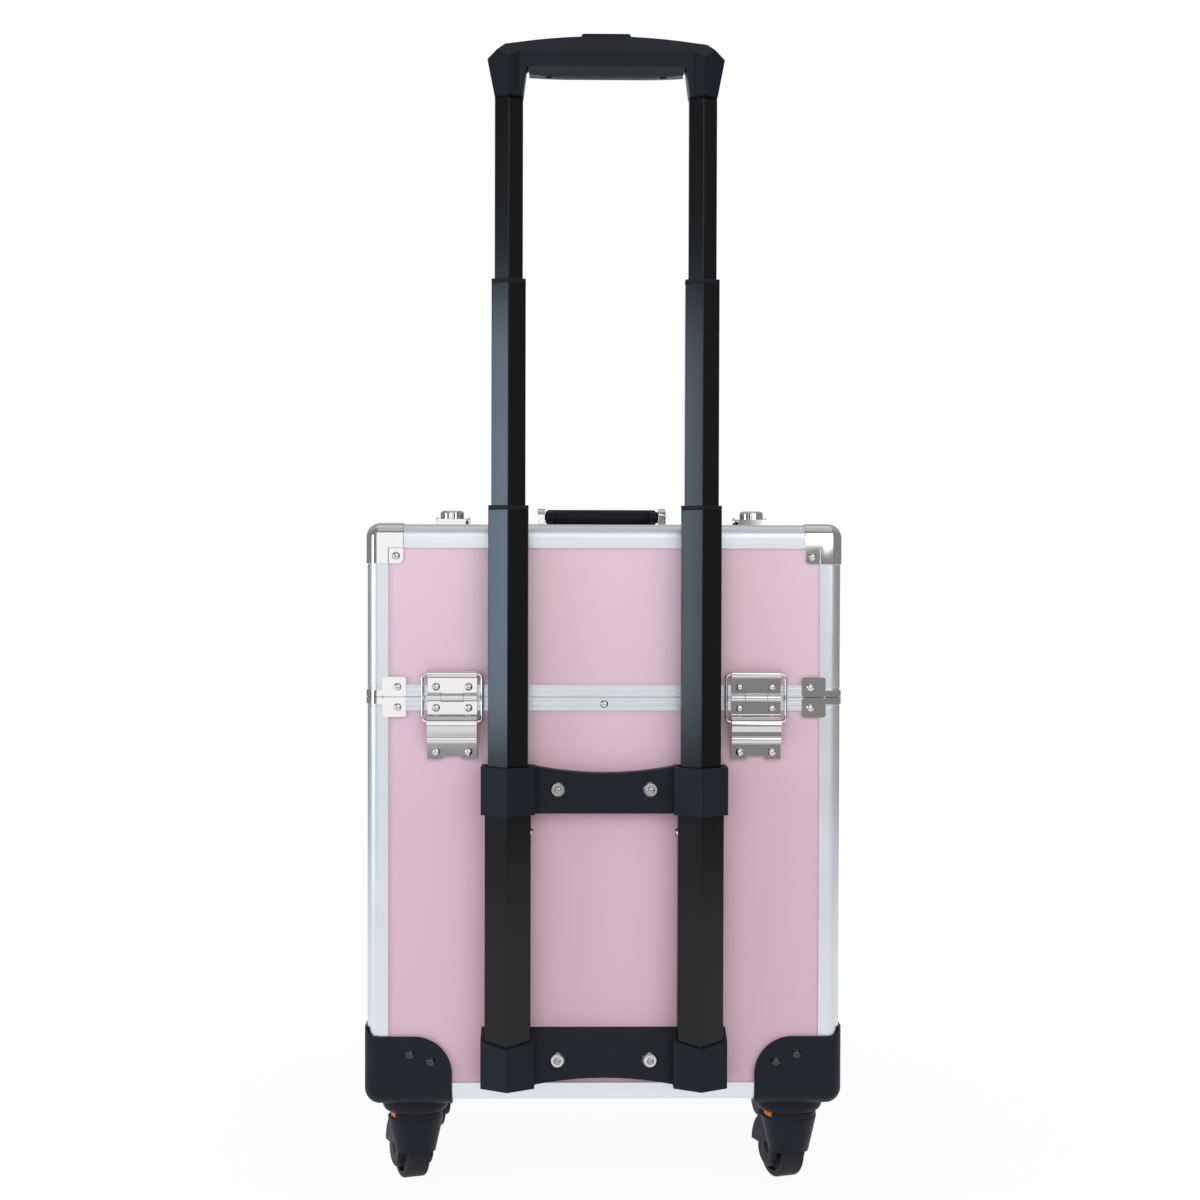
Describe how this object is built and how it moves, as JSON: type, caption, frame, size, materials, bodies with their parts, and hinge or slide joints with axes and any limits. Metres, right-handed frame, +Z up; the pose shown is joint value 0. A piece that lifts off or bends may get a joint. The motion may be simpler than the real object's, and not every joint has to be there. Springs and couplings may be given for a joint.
{
  "type": "rolling makeup case",
  "caption": "Wheeled hard cosmetics case with a split hinged lid, cantilever trays inside, a telescopic pull handle and swivel casters.",
  "frame": {"origin": "middle of the footprint on the ground", "axes": "+Z up, the pull handle side faces -Y, +X to the right seen from that side"},
  "size_m": [0.368, 0.2834, 0.8756],
  "materials": {
    "pink_panel": "satin skinned panel",
    "aluminium_profile": "satin anodised extrusion",
    "chrome_trim": "bright pressed trim",
    "steel_fastener": "rivets and bolts",
    "hinge_steel": "plated pressed steel",
    "bare_steel": "zinc plated strip",
    "black_tube": "black satin coat",
    "orange_ring": "moulded ring",
    "wheel_rubber": "black tread",
    "tray_plastic": "moulded tray",
    "grey_plastic": "moulded underside",
    "grip_plastic": "moulded grip",
    "black_plastic": "moulded plastic"
  },
  "bodies": {
    "case_base": {"base_panels": "pink_panel", "base_frame": "aluminium_profile", "base_rim": "aluminium_profile", "base_clips": "chrome_trim", "base_rivets": "steel_fastener", "hinge_lower_leaves": "hinge_steel", "hinge_pins": "hinge_steel", "caster_housings": "black_plastic", "housing_screws": "black_plastic", "swivel_rings": "orange_ring", "upper_crosspiece": "black_plastic", "lower_crosspiece": "black_plastic", "crosspiece_bolts": "steel_fastener", "fixed_tubes": "black_tube", "fixed_guides": "black_plastic"},
    "front_lid": {"front_lid_panels": "pink_panel", "front_lid_frame": "aluminium_profile", "front_lid_corners": "chrome_trim", "front_lid_clips": "chrome_trim", "front_lid_rivets": "steel_fastener", "front_hinge_leaves": "hinge_steel", "latch_plates": "chrome_trim", "handle_mounts": "chrome_trim"},
    "rear_lid": {"rear_lid_panels": "pink_panel", "rear_lid_frame": "aluminium_profile", "rear_lid_corners": "chrome_trim", "rear_lid_clips": "chrome_trim", "rear_lid_rivets": "steel_fastener", "rear_hinge_leaves": "hinge_steel", "latch_catches": "chrome_trim"},
    "stage1": {"stage1_tubes": "black_tube", "stage1_guides": "black_plastic"},
    "stage2": {"stage2_tubes": "black_tube", "stage2_guides": "black_plastic"},
    "stage3": {"stage3_tubes": "black_tube", "stage3_feet": "black_plastic", "grip_shell": "grip_plastic", "grip_underside": "grey_plastic", "release_rods": "bare_steel"},
    "front_stay_loops": {"front_stay_loops": "hinge_steel"},
    "rear_stay_loops": {"rear_stay_loops": "hinge_steel"},
    "front_lower_tray": {"front_lower_tray": "tray_plastic"},
    "front_upper_tray": {"front_upper_tray": "tray_plastic"},
    "rear_lower_tray": {"rear_lower_tray": "tray_plastic"},
    "rear_upper_tray": {"rear_upper_tray": "tray_plastic"},
    "front_tray_links": {"front_tray_links": "bare_steel"},
    "rear_tray_links": {"rear_tray_links": "bare_steel"},
    "left_hasp": {"left_hasp": "chrome_trim"},
    "right_hasp": {"right_hasp": "chrome_trim"},
    "carry_grip": {"carry_grip": "grip_plastic"},
    "push_button": {"push_button": "grip_plastic"},
    "rear_left_fork": {"rear_left_fork": "black_plastic"},
    "rear_left_wheel": {"rear_left_wheel": "wheel_rubber"},
    "rear_right_fork": {"rear_right_fork": "black_plastic"},
    "rear_right_wheel": {"rear_right_wheel": "wheel_rubber"},
    "front_left_fork": {"front_left_fork": "black_plastic"},
    "front_left_wheel": {"front_left_wheel": "wheel_rubber"},
    "front_right_fork": {"front_right_fork": "black_plastic"},
    "front_right_wheel": {"front_right_wheel": "wheel_rubber"}
  },
  "joints": [
    {"name": "front_lid_hinge", "type": "hinge", "parent": "case_base", "child": "front_lid", "pos_m": [0, 0.13518, 0.378], "axis": [-1, 0, 0], "range_deg": [0, 95]},
    {"name": "front_lower_tray_pivot", "type": "hinge", "parent": "front_lid", "child": "front_lower_tray", "pos_m": [0, 0.09518, 0.409], "axis": [-1, 0, 0], "range_deg": [-95, 0]},
    {"name": "front_upper_tray_pivot", "type": "hinge", "parent": "front_lid", "child": "front_upper_tray", "pos_m": [0, 0.06118, 0.4354], "axis": [-1, 0, 0], "range_deg": [-95, 0]},
    {"name": "front_link_pivot", "type": "hinge", "parent": "case_base", "child": "front_tray_links", "pos_m": [0, 0.09718, 0.37], "axis": [-1, 0, 0], "range_deg": [0, 95]},
    {"name": "front_loop_pivot", "type": "hinge", "parent": "front_lid", "child": "front_stay_loops", "pos_m": [0, 0.13518, 0.3957], "axis": [-1, 0, 0], "range_deg": [-61.8, 0]},
    {"name": "rear_lid_hinge", "type": "hinge", "parent": "case_base", "child": "rear_lid", "pos_m": [0, -0.11182, 0.378], "axis": [1, 0, 0], "range_deg": [0, 0.5]},
    {"name": "rear_lower_tray_pivot", "type": "hinge", "parent": "rear_lid", "child": "rear_lower_tray", "pos_m": [0, -0.07182, 0.409], "axis": [1, 0, 0], "range_deg": [-0.5, 0]},
    {"name": "rear_upper_tray_pivot", "type": "hinge", "parent": "rear_lid", "child": "rear_upper_tray", "pos_m": [0, -0.03782, 0.4354], "axis": [1, 0, 0], "range_deg": [-0.5, 0]},
    {"name": "rear_link_pivot", "type": "hinge", "parent": "case_base", "child": "rear_tray_links", "pos_m": [0, -0.07382, 0.37], "axis": [1, 0, 0], "range_deg": [0, 0.5]},
    {"name": "rear_loop_pivot", "type": "hinge", "parent": "rear_lid", "child": "rear_stay_loops", "pos_m": [0, -0.11182, 0.3957], "axis": [1, 0, 0], "range_deg": [-0.375, 0]},
    {"name": "left_hasp_hinge", "type": "hinge", "parent": "front_lid", "child": "left_hasp", "pos_m": [-0.1216, 0.02868, 0.5132], "axis": [-1, 0, 0], "range_deg": [0, 110]},
    {"name": "right_hasp_hinge", "type": "hinge", "parent": "front_lid", "child": "right_hasp", "pos_m": [0.1216, 0.02868, 0.5132], "axis": [-1, 0, 0], "range_deg": [0, 110]},
    {"name": "carry_grip_hinge", "type": "hinge", "parent": "front_lid", "child": "carry_grip", "pos_m": [0, 0.02768, 0.517], "axis": [1, 0, 0], "range_deg": [0, 100]},
    {"name": "stage1_slide", "type": "slide", "parent": "case_base", "child": "stage1", "axis": [0, 0, 1], "range_m": [-0.185, 0]},
    {"name": "stage2_slide", "type": "slide", "parent": "stage1", "child": "stage2", "axis": [0, 0, 1], "range_m": [-0.165, 0]},
    {"name": "stage3_slide", "type": "slide", "parent": "stage2", "child": "stage3", "axis": [0, 0, 1], "range_m": [-0.13, 0]},
    {"name": "button_press", "type": "slide", "parent": "stage3", "child": "push_button", "axis": [0, 0, 1], "range_m": [-0.004, 0], "stiffness_N_per_m": 300},
    {"name": "rear_left_swivel", "type": "hinge", "parent": "case_base", "child": "rear_left_fork", "pos_m": [-0.145, -0.07332, 0.056], "axis": [0, 0, 1], "continuous": true},
    {"name": "rear_left_roll", "type": "hinge", "parent": "rear_left_fork", "child": "rear_left_wheel", "pos_m": [-0.1491, -0.06204, 0.023], "axis": [-0.9397, -0.342, 0], "continuous": true},
    {"name": "rear_right_swivel", "type": "hinge", "parent": "case_base", "child": "rear_right_fork", "pos_m": [0.145, -0.07332, 0.056], "axis": [0, 0, 1], "continuous": true},
    {"name": "rear_right_roll", "type": "hinge", "parent": "rear_right_fork", "child": "rear_right_wheel", "pos_m": [0.1409, -0.06204, 0.023], "axis": [-0.9397, -0.342, 0], "continuous": true},
    {"name": "front_left_swivel", "type": "hinge", "parent": "case_base", "child": "front_left_fork", "pos_m": [-0.145, 0.09668, 0.056], "axis": [0, 0, 1], "continuous": true},
    {"name": "front_left_roll", "type": "hinge", "parent": "front_left_fork", "child": "front_left_wheel", "pos_m": [-0.1425, 0.08494, 0.023], "axis": [0.9781, 0.2079, 0], "continuous": true},
    {"name": "front_right_swivel", "type": "hinge", "parent": "case_base", "child": "front_right_fork", "pos_m": [0.145, 0.09668, 0.056], "axis": [0, 0, 1], "continuous": true},
    {"name": "front_right_roll", "type": "hinge", "parent": "front_right_fork", "child": "front_right_wheel", "pos_m": [0.14749, 0.08494, 0.023], "axis": [0.9781, 0.2079, 0], "continuous": true}
  ],
  "couplings": [
    {"joint": "front_lower_tray_pivot", "follows": "front_lid_hinge", "ratio": -1},
    {"joint": "front_upper_tray_pivot", "follows": "front_lid_hinge", "ratio": -1},
    {"joint": "front_link_pivot", "follows": "front_lid_hinge", "ratio": 1},
    {"joint": "front_loop_pivot", "follows": "front_lid_hinge", "ratio": -0.65},
    {"joint": "rear_lower_tray_pivot", "follows": "rear_lid_hinge", "ratio": -1},
    {"joint": "rear_upper_tray_pivot", "follows": "rear_lid_hinge", "ratio": -1},
    {"joint": "rear_link_pivot", "follows": "rear_lid_hinge", "ratio": 1},
    {"joint": "rear_loop_pivot", "follows": "rear_lid_hinge", "ratio": -0.65}
  ]
}
